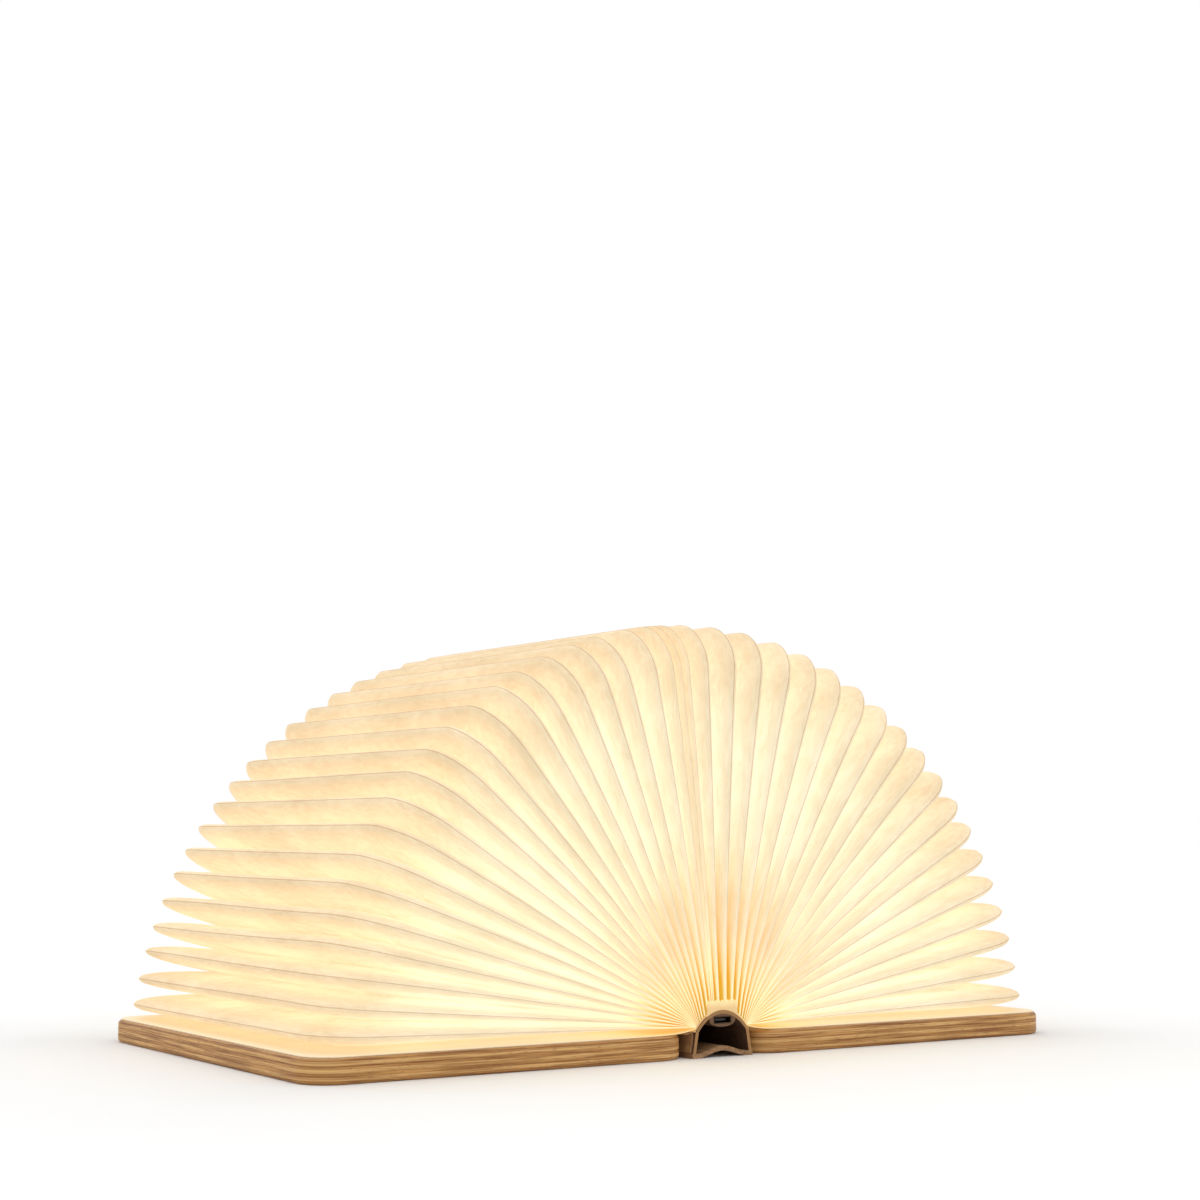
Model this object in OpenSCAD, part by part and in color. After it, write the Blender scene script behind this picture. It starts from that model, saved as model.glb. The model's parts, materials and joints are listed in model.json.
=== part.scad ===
// Folding book lamp: two plywood covers hinged with cloth to a hollow spine, and a fan of
// pleated translucent paper round a row of LEDs. It is drawn open flat on a table:
// X across the spine, Y along it, Z up, with the origin on the table under the spine's middle.

/* [Covers] */
// Width of one cover, from its hinge side to its fore edge
cover_w = 140; // [100:1:200]
// Length of the covers along the spine
cover_l = 170; // [130:1:240]
// Thickness of the plywood covers
cover_t = 8; // [6:0.5:10]
// Radius of the covers' corners
cover_corner_r = 12; // [6:1:20]
// Chamfer that eases the covers' edges
cover_edge = 1; // [0.4:0.1:1.6]
// Distance from a hinge line to the cover's inner edge
cover_setback = 0.5; // [0.3:0.1:1]
// Thickness of the sheet glued to the inside of a cover
endpaper_t = 0.4; // [0.2:0.1:0.8]
// Bare wood left round that sheet
endpaper_inset = 1.5; // [1:0.5:4]

/* [Magnets] */
// Diameter of the disc magnets that hold the covers together
magnet_d = 8; // [5:0.5:12]
// Thickness of the disc magnets
magnet_t = 3; // [1.5:0.25:3.5]
// Distance from a disc magnet's centre to the cover's fore edge and ends
magnet_inset = 18; // [14:1:30]
// Diameter of the small magnet that works the switch
switch_magnet_d = 5; // [3:0.5:6]
// Distance from the switch magnet's centre to the cover's hinge edge
switch_magnet_inset = 10; // [8:0.5:12]

/* [Paper] */
// Thickness of the paper block between the closed covers
block_t = 25; // [22:1:34]
// Groups of pleats on each side of the middle
sectors_per_side = 7; // [5:1:9]
// Pleats in each group
pleats_per_sector = 3; // [2:1:4]
// How far the inner folds stand back from the outer folds
pleat_depth = 18; // [8:1:22]
// Radius of the outer folds at a page's corners
ridge_corner_r = 20; // [8:1:24]
// Radius of the inner folds at a page's corners
valley_corner_r = 10; // [4:1:12]
// Length of the pleats' feet, where the paper is still bunched together
pleat_foot = 12; // [6:1:20]
// Thickness of the paper, measured along the depth of a pleat
sheet_depth = 1.3; // [0.6:0.1:2]
// How far the pages end inside the covers' fore edges when the book is shut
page_recess = 1; // [0:0.5:6]
// How far the pages end inside the covers' ends
page_inset = 1.5; // [1:0.5:6]

/* [Spine] */
// Thickness of the outer spine strip
strip_t = 1.6; // [0.8:0.1:2]
// How far the middle of the spine strip bows up
strip_rise = 2.2; // [0.5:0.1:3]
// Wall of the card arch
arch_wall = 1.2; // [0.8:0.1:1.8]
// Room between the arch's sides and the closed covers
arch_inset = 1; // [0.8:0.1:2]
// Thickness of the paper lining over the arch
lining_t = 0.4; // [0.2:0.1:0.8]
// Height of the toothed bands that cover the pleats' feet at both ends
band_h = 3; // [1.5:0.5:5]
// Teeth along the top of such a band
band_teeth = 10; // [4:1:16]
// Thickness of the hinge cloth
cloth_t = 0.4; // [0.3:0.1:0.6]

/* [Light] */
// Outer width of the light channel
rail_w = 14; // [12:0.5:16]
// Height of the light channel above the top of the arch
rail_h = 15; // [13:0.5:20]
// Wall of the light channel
rail_wall = 1.2; // [1:0.1:1.6]
// Wall of the opal cover over the LEDs
diffuser_wall = 1; // [0.8:0.1:1.5]
// Thickness of the channel's end caps
cap_t = 1.6; // [1.2:0.1:2.5]
// Number of LEDs
led_count = 12; // [6:1:14]
// Thickness of the circuit boards
board_t = 1; // [0.8:0.1:1.6]
// Room between the battery cell and the control board, for the cell's leads
lead_room = 15; // [8:1:30]
// Height of the battery cell
cell_h = 7; // [4:0.5:7]
// Length of the control board
control_l = 44; // [40:1:48]

/* [Charging] */
// Half of the arch's angle that the charging pod covers
pod_phi = 52.5; // [52.5:7.5:60]
// How far the charging pod reaches in under the light channel
pod_reach = 8; // [6:1:16]
// Depth of the charging pod at its middle
pod_h = 4.4; // [4.2:0.1:4.8]
// Width of the charging inlet's metal shell
inlet_w = 7.4; // [6.8:0.1:8]
// Height of the charging inlet's metal shell
inlet_h = 2.4; // [2.2:0.1:2.6]
// Length of the charging inlet's metal shell
inlet_l = 6; // [4:0.5:8]

/* [Hidden] */
$fn = 48;
page_gap = 0.3;
fold_gap = 0.34;
root_gap = 0.3;
seat_gap = 0.1;
arc_steps = 4;
arch_step = 7.5;

hinge_x = block_t / 2;
hinge_z = cover_t;
cover_x = hinge_x + cover_setback;

// The pages radiate from one line along Y, just above the covers' inner sheets.
fan_z = cover_t + endpaper_t + page_gap;
arch_a = block_t / 2 - arch_inset;
page_top_z = hinge_z + cover_setback + cover_w - page_recess;
page_y = cover_l / 2 - page_inset;
sector_angle = 90 / sectors_per_side;
fold_angle = sector_angle / pleats_per_sector / 2;
fold_count = 2 * pleats_per_sector;

spine_l = cover_l - 2;
strip_a = cover_x - 0.4;
arch_out = arch_a - lining_t;
foot_out = strip_a - 0.3;
foot_in = foot_out - arch_wall;
band_phi = 52.5;
band_t = 0.4;
tooth_h = 0.7;
arch_top_z = fan_z + arch_a * 2 / PI;

rail_top_z = arch_top_z + rail_h;
rail_floor_z = arch_top_z + rail_wall;
rail_in_w = rail_w - 2 * rail_wall;
rail_y = page_y - pleat_depth - sheet_depth - 1;
rail_l = 2 * (rail_y - cap_t);
ledge_w = 1;
ledge_z = rail_top_z - 3.4;
diffuser_r = rail_w / 2;
screw_d = 1.2;
screw_l = 5;
screw_head_d = 2.4;
screw_head_h = 0.9;
screw_x = rail_w / 2 - 1.8;
screw_z = rail_floor_z - 1.15;
cell_w = rail_in_w - 1.2;
end_room = 1;
cell_l = rail_l - control_l - lead_room - 2 * end_room;
cell_y = (rail_l - cell_l) / 2 - end_room;
wire_d = 1;
wire_lap = 4;
led_lead_x = rail_in_w / 2 - ledge_w - 0.3 - wire_d / 2;
control_y = (control_l - rail_l) / 2 + end_room;
control_w = rail_in_w - 0.8;
control_post_h = 1.4;
control_z = rail_floor_z + control_post_h;
sensor_l = 3;
sensor_h = 1.4;
led_l = 3.5;
led_w = 2.8;
led_h = 0.8;
led_board_w = rail_in_w - 0.4;
led_pitch = (rail_l - 12) / led_count;

pod_l = spine_l / 2 - rail_l / 2 + pod_reach;
pod_top_z = arch_top_z - lining_t - arch_wall;
pod_lip = 0.6;
inlet_wall = 0.3;
inlet_z = pod_top_z - inlet_h / 2 - 0.9;
lead_w = 2.4;
lead_t = 1;
lead_y = -rail_l / 2 + 3.5;
lead_slot = 0.4;
cloth_end = cover_x + endpaper_inset - 0.2;
cloth_l = spine_l - 2;

// Where the page at angle phi from the vertical is glued to the arch. The folds are then
// evenly spaced across the block when the book is shut.
function root_r(phi) = abs(phi) < 0.01 ? arch_a * 2 / PI
    : arch_a * abs(phi) / 90 / sin(abs(phi));
// How far the page at angle phi reaches, so that all end level when the book is shut
function fore_r(phi) = page_top_z - fan_z + root_r(phi) * (1 - cos(phi));
function on_ray(phi, r) = [r * sin(phi), fan_z + r * cos(phi)];
// A stretch of the arch's curve, moved inwards
function arch_curve(inwards, from, to) =
    [for (phi = [from : arch_step : to]) on_ray(phi, root_r(phi) - inwards)];
function reversed(list) = [for (i = [len(list) - 1 : -1 : 0]) list[i]];
// The spine strip's curve, with flat shoulders that the arch stands on
function strip_z(x) = abs(x) >= foot_in - 0.4 ? 0
    : strip_rise * (1 + cos(180 * x / (foot_in - 0.4))) / 2;

// Turns a profile drawn in X and Z into a bar that is centred along Y.
module along_spine(length) {
    rotate([90, 0, 0]) linear_extrude(height = length, center = true) children();
}

// A board with round corners and eased edges. It starts at x = 0 and rests on z = 0.
module eased_board(w, l, t, r, edge) {
    for (x = [r, w - r], y = [r - l / 2, l / 2 - r])
        translate([x, y, 0])
            rotate_extrude()
                polygon([[0, 0], [r - edge, 0], [r, edge], [r, t - edge], [r - edge, t], [0, t]]);
    rotate([90, 0, 0])
        linear_extrude(height = l - 2 * r, center = true) board_profile(0, w, t, edge);
    translate([r, 0, 0]) rotate([90, 0, 90])
        linear_extrude(height = w - 2 * r) board_profile(-l / 2, l / 2, t, edge);
}

module board_profile(from, to, t, edge) {
    polygon([[from + edge, 0], [to - edge, 0], [to, edge], [to, t - edge],
             [to - edge, t], [from + edge, t], [from, t - edge], [from, edge]]);
}

module round_rectangle(w, l, r) {
    translate([r, -l / 2]) square([w - 2 * r, l]);
    translate([0, r - l / 2]) square([w, l - 2 * r]);
    for (x = [r, w - r], y = [r - l / 2, l / 2 - r]) translate([x, y]) circle(r);
}

// Puts a piece that is drawn from the hinge edge outwards on the left or right cover.
module on_cover(side) {
    mirror([side < 0 ? 1 : 0, 0, 0]) translate([cover_x, 0, 0]) children();
}

module at_disc_magnets() {
    for (y = [-1, 1])
        translate([cover_w - magnet_inset, y * (cover_l / 2 - magnet_inset), cover_t])
            children();
}

module at_switch_magnet() {
    translate([switch_magnet_inset, control_y, cover_t]) children();
}

// A blind hole in a cover's inner face
module pocket(d, t) {
    translate([0, 0, -t - seat_gap]) cylinder(d = d + 2 * seat_gap, h = t + 1);
}

module disc(d, t) {
    translate([0, 0, -t - seat_gap]) cylinder(d = d, h = t);
}

module cover(side) {
    color("#c8a57a") on_cover(side) difference() {
        eased_board(cover_w, cover_l, cover_t, cover_corner_r, cover_edge);
        at_disc_magnets() pocket(magnet_d, magnet_t);
        if (side > 0) at_switch_magnet() pocket(switch_magnet_d, magnet_t);
    }
}

module endpaper(side) {
    color("#fdf0cf") on_cover(side) translate([endpaper_inset, 0, cover_t])
        linear_extrude(height = endpaper_t)
            round_rectangle(cover_w - 2 * endpaper_inset, cover_l - 2 * endpaper_inset,
                            cover_corner_r - endpaper_inset);
}

module magnets(side) {
    color("#b8babd") on_cover(side) at_disc_magnets() disc(magnet_d, magnet_t);
}

module switch_magnet() {
    color("#b8babd") on_cover(1) at_switch_magnet() disc(switch_magnet_d, magnet_t);
}

// One group of pleats: a sheet folded to and fro, which runs up from the arch at the front
// end, along the fore edge and back down to the arch at the rear end.
// Stops along that way: [end, turn round the corner in degrees, height above the arch]
sheet_stops = concat(
    [[-1, 0, 0], [-1, 0, pleat_foot]],
    [for (i = [0 : arc_steps]) [-1, 90 * i / arc_steps]],
    [for (i = [arc_steps : -1 : 0]) [1, 90 * i / arc_steps]],
    [[1, 0, pleat_foot], [1, 0, 0]]);

// Fold i of the group that is centred on angle middle. At its foot the paper is a block.
function fold_point(middle, i, stop, inwards) =
    let (phi = middle + (i - fold_count / 2) * fold_angle,
         ridge = i % 2 == 1,
         inset = ridge ? 0 : pleat_depth,
         r = ridge ? ridge_corner_r : valley_corner_r,
         shift = i == 0 ? fold_gap / 2 : i == fold_count ? -fold_gap / 2 : 0,
         u = is_undef(stop[2])
             ? fore_r(phi) - inset - r + (r - inwards) * sin(stop[1])
             : root_r(phi) + root_gap + stop[2],
         from_end = stop[2] == 0 ? (inwards > 0 ? pleat_depth + inwards : 0)
             : inset + r - (r - inwards) * cos(stop[1]),
         at = on_ray(phi, u))
    [at[0] + shift * cos(middle), stop[0] * (page_y - from_end), at[1] - shift * sin(middle)];

module pleat_sector(side, k) {
    middle = side * (k - 0.5) * sector_angle;
    ring = 2 * (fold_count + 1);
    last = ring * (len(sheet_stops) - 1);
    points = [for (stop = sheet_stops, i = [0 : ring - 1])
        i <= fold_count ? fold_point(middle, i, stop, 0)
                        : fold_point(middle, ring - 1 - i, stop, sheet_depth)];
    walls = [for (s = [0 : len(sheet_stops) - 2], i = [0 : ring - 1])
        let (a = s * ring + i, b = s * ring + (i + 1) % ring)
        each [[a, b + ring, b], [a, a + ring, b + ring]]];
    ends = [for (i = [0 : fold_count - 1])
        let (a = i, b = i + 1, c = ring - 2 - i, d = ring - 1 - i)
        each [[a, b, c], [a, c, d],
              [last + a, last + c, last + b], [last + a, last + d, last + c]]];
    color("#fdeec8") polyhedron(points = points, faces = concat(walls, ends));
}

module spine_strip() {
    xs = [for (i = [-10 : 10]) (foot_in - 0.4) * i / 10];
    color("#b98f60") along_spine(spine_l)
        polygon(concat([[-strip_a, 0]], [for (x = xs) [x, strip_z(x)]], [[strip_a, 0]],
                       [[strip_a, strip_t]],
                       [for (x = reversed(xs)) [x, strip_z(x) + strip_t]],
                       [[-strip_a, strip_t]]));
}

module spine_arch() {
    color("#4a3322") difference() {
        along_spine(spine_l)
            polygon(concat([[-foot_out, strip_t]], arch_curve(lining_t, -90, 90),
                           [[foot_out, strip_t], [foot_in, strip_t]],
                           reversed(arch_curve(lining_t + arch_wall, -90, 90)),
                           [[-foot_in, strip_t]]));
        lead_hole();
    }
}

module arch_lining() {
    color("#f8e8c4") difference() {
        along_spine(spine_l - 2 * band_t)
            polygon(concat(arch_curve(0, -90, 90), reversed(arch_curve(lining_t, -90, 90))));
        lead_hole();
    }
}

// The strips with a toothed top edge across both ends of the middle pleats' feet
module pleat_bands() {
    top_x = on_ray(band_phi, root_r(band_phi))[0] - tooth_h;
    top_z = arch_top_z + band_h;
    color("#fbeccb") for (end = [-1, 1])
        translate([0, end * (spine_l - band_t) / 2, 0]) along_spine(band_t)
            polygon(concat(arch_curve(lining_t, -band_phi, band_phi),
                           [for (i = [0 : 2 * band_teeth])
                               [top_x * (1 - i / band_teeth), top_z - tooth_h * (i % 2)]]));
}

// The slot that the charging lead passes through
module lead_hole() {
    translate([-(lead_w + lead_slot) / 2, lead_y - (lead_t + lead_slot) / 2, pod_top_z - 3])
        cube([lead_w + lead_slot, lead_t + lead_slot, rail_floor_z - pod_top_z + 4]);
}

// A cloth strip down the side of the arch, with a flap over the cover's inner edge
module hinge_cloth(side) {
    flap_z = cover_t + seat_gap;
    color("#8a6238") mirror([side < 0 ? 1 : 0, 0, 0]) along_spine(cloth_l)
        polygon([[arch_out, fan_z], [arch_out + cloth_t, fan_z], [cloth_end, flap_z + cloth_t],
                 [cloth_end, flap_z], [arch_out + cloth_t, flap_z],
                 [foot_out + cloth_t, strip_t], [foot_out, strip_t]]);
}

// The channel's underside follows the arch as far as its own width.
rail_phi = arch_step * floor(90 * (rail_w / 2) / arch_a / arch_step);

module rail_outline() {
    polygon(concat([[-rail_w / 2, rail_top_z]], [[-rail_w / 2, rail_foot_z]],
                   arch_curve(0, -rail_phi, rail_phi),
                   [[rail_w / 2, rail_foot_z]], [[rail_w / 2, rail_top_z]]));
}

rail_foot_z = on_ray(rail_phi, root_r(rail_phi))[1];

module light_channel() {
    color("#f4f3ef") difference() {
        along_spine(rail_l) rail_outline();
        along_spine(rail_l + 2) {
            translate([-rail_in_w / 2, rail_floor_z])
                square([rail_in_w, ledge_z - ledge_w - rail_floor_z]);
            translate([ledge_w - rail_in_w / 2, rail_floor_z])
                square([rail_in_w - 2 * ledge_w, rail_top_z - rail_floor_z]);
            translate([-rail_in_w / 2, ledge_z]) square([rail_in_w, rail_top_z - ledge_z + 1]);
        }
        at_cap_screws() translate([0, 0, -1])
            cylinder(d = screw_d + seat_gap, h = screw_l + 1);
        lead_hole();
    }
}

// Both ends' screws, with the screw's own axis turned inwards
module at_cap_screws() {
    for (end = [-1, 1], x = [-screw_x, screw_x])
        translate([x, end * rail_l / 2, screw_z]) rotate([end * 90, 0, 0]) children();
}

module end_cap(end) {
    color("#eeede8") difference() {
        translate([0, end * (rail_l + cap_t) / 2, 0]) {
            along_spine(cap_t) {
                rail_outline();
                translate([0, rail_top_z]) intersection() {
                    circle(diffuser_r);
                    translate([-diffuser_r, 0]) square([2 * diffuser_r, diffuser_r]);
                }
            }
        }
        at_cap_screws() translate([0, 0, -cap_t - 1])
            cylinder(d = screw_d + 2 * seat_gap, h = cap_t + 2);
    }
}

module end_cap_screws() {
    color("#9c9fa3") at_cap_screws() {
        translate([0, 0, -cap_t]) cylinder(d = screw_d, h = cap_t + screw_l - 1);
        translate([0, 0, -cap_t - screw_head_h / 2])
            cylinder(d = screw_head_d, h = screw_head_h / 2);
        translate([0, 0, -cap_t - screw_head_h])
            cylinder(d1 = screw_head_d * 0.6, d2 = screw_head_d, h = screw_head_h / 2);
    }
}

module battery_cell() {
    r = 1.5;
    color("#8fa7b8") translate([0, cell_y, rail_floor_z]) along_spine(cell_l)
        translate([-cell_w / 2, cell_h / 2]) round_rectangle(cell_w, cell_h, r);
}

module control_board() {
    color("#2f6b46") translate([0, control_y, control_z]) {
        translate([-control_w / 2, -control_l / 2, 0]) cube([control_w, control_l, board_t]);
        translate([-2.5, -4, board_t]) cube([5, 5, 1.2]);
        translate([-2, 8, board_t]) cube([4, 4, 1.8]);
        for (y = [-14, -10, 14, 17]) translate([-3.4, y, board_t]) cube([1.6, 0.9, 0.6]);
        for (x = [-control_w / 2 + 1.4, control_w / 2 - 1.4], y = [-1, 1])
            translate([x, y * (control_l / 2 - 2), -control_post_h])
                cylinder(d = 1.6, h = control_post_h);
    }
}

// The cell's two wires, which lie on the control board's top at their other end
module battery_leads() {
    from = control_y + control_l / 2 - wire_lap;
    color("#b03a2e") for (x = [-1.5, 1.5])
        translate([x, from, control_z + board_t + wire_d / 2]) rotate([-90, 0, 0])
            cylinder(d = wire_d, h = cell_y - cell_l / 2 - from);
}

// The two wires up to the LEDs
module led_leads() {
    color("#b03a2e") for (i = [0, 1])
        translate([led_lead_x - i * 1.6 * wire_d, control_y - 8, control_z + board_t])
            cylinder(d = wire_d, h = ledge_z - control_z - board_t);
}

module switch_sensor() {
    color("#26282b") translate([control_w / 2 - sensor_l, control_y + 2, control_z + board_t])
        cube([sensor_l, 1.5, sensor_h]);
}

module led_board() {
    color("#f7f7f2") translate([-led_board_w / 2, -rail_l / 2 + 0.5, ledge_z])
        cube([led_board_w, rail_l - 1, board_t]);
}

module leds() {
    color("#ffe9a8") for (i = [0 : led_count - 1])
        translate([-led_w / 2, (i - (led_count - 1) / 2) * led_pitch - led_l / 2,
                   ledge_z + board_t])
            cube([led_w, led_l, led_h]);
}

module diffuser() {
    color("#fffdf4") translate([0, 0, rail_top_z]) along_spine(rail_l) difference() {
        union() {
            intersection() {
                circle(diffuser_r);
                translate([-diffuser_r, 0]) square([2 * diffuser_r, diffuser_r]);
            }
            translate([-rail_in_w / 2 + 0.2, ledge_z + board_t - rail_top_z])
                square([rail_in_w - 0.4, rail_top_z - ledge_z - board_t]);
        }
        circle(diffuser_r - rail_wall - diffuser_wall);
        translate([-diffuser_r + rail_wall + diffuser_wall, -5])
            square([2 * (diffuser_r - rail_wall - diffuser_wall), 5]);
    }
}

// The lens-shaped bar under the arch's top that holds the inlet
module charging_pod() {
    steps = 16;
    corner = on_ray(pod_phi, root_r(pod_phi) - lining_t - arch_wall);
    lip_z = corner[1] - pod_lip;
    depth = lip_z - pod_top_z + pod_h;
    color("#5b4030") difference() {
        translate([0, (pod_l - spine_l) / 2, 0]) along_spine(pod_l)
            polygon(concat(arch_curve(lining_t + arch_wall, -pod_phi, pod_phi),
                           [for (i = [0 : steps]) let (turn = 180 * i / steps)
                               [corner[0] * cos(turn), lip_z - depth * sin(turn)]]));
        translate([0, -spine_l / 2, inlet_z])
            cube([inlet_w + seat_gap, 2 * (inlet_l + seat_gap), inlet_h + seat_gap],
                 center = true);
        translate([-(lead_w + lead_slot) / 2, lead_y - (lead_t + lead_slot) / 2, inlet_z])
            cube([lead_w + lead_slot, lead_t + lead_slot, pod_h]);
    }
}

module charging_inlet() {
    color("#c4c7ca") translate([0, inlet_l / 2 - spine_l / 2, inlet_z]) difference() {
        cube([inlet_w, inlet_l, inlet_h], center = true);
        translate([0, -inlet_wall, 0])
            cube([inlet_w - 2 * inlet_wall, inlet_l, inlet_h - 2 * inlet_wall], center = true);
    }
}

module inlet_tongue() {
    color("#1f2022") translate([0, inlet_l / 2 - spine_l / 2 + 0.5, inlet_z])
        cube([inlet_w - 3, inlet_l - 1 - 2 * inlet_wall, 0.7], center = true);
}

module charging_lead() {
    color("#2b2b2d") translate([-lead_w / 2, lead_y - lead_t / 2, inlet_z])
        cube([lead_w, lead_t, control_z - inlet_z]);
}

spine_strip();
spine_arch();
arch_lining();
pleat_bands();
hinge_cloth(-1);  // left_hinge_cloth
hinge_cloth(1);  // right_hinge_cloth
light_channel();
end_cap(-1);  // front_end_cap
end_cap(1);  // rear_end_cap
end_cap_screws();
battery_cell();
battery_leads();
control_board();
switch_sensor();
led_leads();
led_board();
leds();
diffuser();
charging_pod();
charging_inlet();
inlet_tongue();
charging_lead();
cover(-1);  // left_cover
endpaper(-1);  // left_endpaper
magnets(-1);  // left_magnets
cover(1);  // right_cover
endpaper(1);  // right_endpaper
magnets(1);  // right_magnets
switch_magnet();
for (k = [1 : sectors_per_side]) {
    pleat_sector(-1, k);
    pleat_sector(1, k);
}
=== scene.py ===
import json
import math

import bmesh
import bpy
from mathutils import Matrix, Vector


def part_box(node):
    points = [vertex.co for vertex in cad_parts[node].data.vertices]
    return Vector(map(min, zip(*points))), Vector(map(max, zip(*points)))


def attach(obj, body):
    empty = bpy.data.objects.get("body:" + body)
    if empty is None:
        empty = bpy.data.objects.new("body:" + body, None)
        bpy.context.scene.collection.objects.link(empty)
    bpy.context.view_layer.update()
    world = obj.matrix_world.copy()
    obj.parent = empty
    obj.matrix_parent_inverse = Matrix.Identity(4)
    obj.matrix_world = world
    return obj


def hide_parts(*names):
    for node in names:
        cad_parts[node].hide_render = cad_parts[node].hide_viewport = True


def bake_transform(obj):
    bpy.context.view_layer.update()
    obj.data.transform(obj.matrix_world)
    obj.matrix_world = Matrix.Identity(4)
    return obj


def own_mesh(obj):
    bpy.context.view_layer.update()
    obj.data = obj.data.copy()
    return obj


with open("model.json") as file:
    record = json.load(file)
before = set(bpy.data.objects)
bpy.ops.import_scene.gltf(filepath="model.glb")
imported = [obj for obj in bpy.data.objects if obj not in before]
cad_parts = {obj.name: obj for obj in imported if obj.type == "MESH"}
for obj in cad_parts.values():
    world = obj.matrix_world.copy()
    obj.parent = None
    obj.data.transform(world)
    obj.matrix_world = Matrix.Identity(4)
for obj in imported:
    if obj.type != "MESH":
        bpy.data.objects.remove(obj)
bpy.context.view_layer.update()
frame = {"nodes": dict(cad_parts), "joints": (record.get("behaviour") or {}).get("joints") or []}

# Spine strip: the thin wood-fibre board at the back of the hollow spine, bowed up a little in
# its middle. Its long edges and its ends are cut raw, so they show a grey-brown core.
nodes = frame["nodes"]


class Wire:
    """One output of a node. Python's signs on it add Math nodes to the same tree."""

    def __init__(self, tree, socket=None):
        self.tree, self.socket = tree, socket

    def node(self, kind, settings=None, values=None, out=0):
        """Adds a node, makes its settings, then fills its sockets with values or links."""
        made = self.tree.nodes.new(kind)
        for name, value in (settings or {}).items():
            if name == "stops":
                ramp = made.color_ramp.elements
                while len(ramp) < len(value):
                    ramp.new(1.0)
                for stop, (place, colour) in zip(ramp, value):
                    stop.position, stop.color = place, (*colour, 1)
            else:
                setattr(made, name, value)
        for name, value in (values or {}).items():
            if isinstance(value, Wire):
                self.tree.links.new(value.socket, made.inputs[name])
            else:
                made.inputs[name].default_value = value
        return Wire(self.tree, made.outputs[out])

    def maths(self, operation, *others):
        """One Math node, with this value first"""
        return self.node("ShaderNodeMath", {"operation": operation}, dict(enumerate((self, *others))))

    def __add__(self, other):
        return self.maths("ADD", other)

    def __mul__(self, other):
        return self.maths("MULTIPLY", other)

    def __sub__(self, other):
        return self.maths("SUBTRACT", other)

    def __truediv__(self, other):
        return self.maths("DIVIDE", other)

    def __pow__(self, other):
        return self.maths("POWER", other)

    def __rsub__(self, other):
        return self.node("ShaderNodeMath", {"operation": "SUBTRACT"}, {0: other, 1: self})

    __radd__, __rmul__ = __add__, __mul__

    def between(self, low, high):
        """0 below low, 1 above high and a smooth step in the middle."""
        return self.node("ShaderNodeMapRange", {"interpolation_type": "SMOOTHSTEP"},
                         {"Value": self, "From Min": low, "From Max": high})

    def mix(self, first, second):
        """From colour first at 0 to colour second at 1"""
        colours = [c if isinstance(c, Wire) else (*c, 1) for c in (first, second)]
        return self.node("ShaderNodeMix", {"data_type": "RGBA", "clamp_factor": True},
                         {0: self, 6: colours[0], 7: colours[1]}, out=2)

    def stretched(self, x, y, z):
        """A place whose axes are scaled, so that a pattern on it is drawn out where it is small"""
        return self.node("ShaderNodeVectorMath", {"operation": "MULTIPLY"}, {0: self, 1: (x, y, z)})

    def noise(self, scale, detail=3.0, roughness=0.5, distortion=0.0):
        """A cloudy pattern from 0 to 1 on this place, with scale clouds to the metre"""
        return self.node("ShaderNodeTexNoise", {}, {
            "Vector": self, "Scale": scale, "Detail": detail, "Roughness": roughness,
            "Distortion": distortion})

    def axis(self, name):
        """The X, Y or Z of a place"""
        return self.node("ShaderNodeSeparateXYZ", {}, {0: self}, out=name)


def rgb(red, green, blue):
    """A colour read as 11 to 255 on screen, as the linear values that a shader takes"""
    return tuple(((c / 255 + 0.055) / 1.055) ** 2.4 for c in (red, green, blue))


class Finish:
    """A material with one Principled shader. Its plain values go on the shader's own sockets."""

    def __init__(self, name, **plain):
        self.material = bpy.data.materials.new(name)
        self.material.use_nodes = True
        tree = self.material.node_tree
        self.shader = next(n for n in tree.nodes if n.type == "BSDF_PRINCIPLED")
        self.start = Wire(tree)
        self.place = self.start.node("ShaderNodeTexCoord", out="Object")
        self.set(**plain)

    def set(self, **values):
        """Gives the shader's sockets, named in small letters, plain values or links."""
        for name, value in values.items():
            socket = self.shader.inputs[name.replace("_", " ").title().replace("Ior", "IOR")]
            if isinstance(value, Wire):
                value.tree.links.new(value.socket, socket)
            elif isinstance(value, tuple) and len(value) == 3:
                socket.default_value = (*value, 1)
            else:
                socket.default_value = value

    def bump(self, height, distance):
        """Raises the surface where height is 1, by that distance in metres."""
        self.set(normal=self.start.node("ShaderNodeBump", {}, {
            "Height": height, "Distance": distance, "Strength": 1.0}))

    def on(self, *names):
        """Puts the finish on CAD nodes."""
        for name in names:
            mesh = nodes[name].data
            mesh.materials.clear()
            mesh.materials.append(self.material)


board = Finish("spine board", roughness=0.62)
fibres = board.place.stretched(1, 0.08, 1).noise(900, 4)
streaks = board.place.stretched(1, 0.03, 1.6).noise(420, 2)
board.set(base_color=(fibres * 0.6 + streaks * 0.4).between(0.3, 0.7).mix(
    rgb(118, 84, 54), rgb(176, 136, 92)))
board.bump(fibres, 0.0002)
board.on("spine_strip")

# Spine arch: a bell of brown card, glued down on the strip's two shoulders. The pages' feet are
# glued over its top, on a cream paper lining. It is dark inside, with a paler cut edge.
card = Finish("brown card", roughness=0.85)
speckle = card.place.noise(1500, 4)
cut_end = card.start.node("ShaderNodeNewGeometry", out="Normal").axis("Y").maths("ABSOLUTE")
card_tone = speckle.between(0.35, 0.7).mix(rgb(66, 42, 24), rgb(96, 64, 38))
card.set(base_color=cut_end.between(0.7, 0.9).mix(card_tone, rgb(168, 126, 80)))
card.bump(speckle, 0.0001)
card.on("spine_arch")

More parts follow.
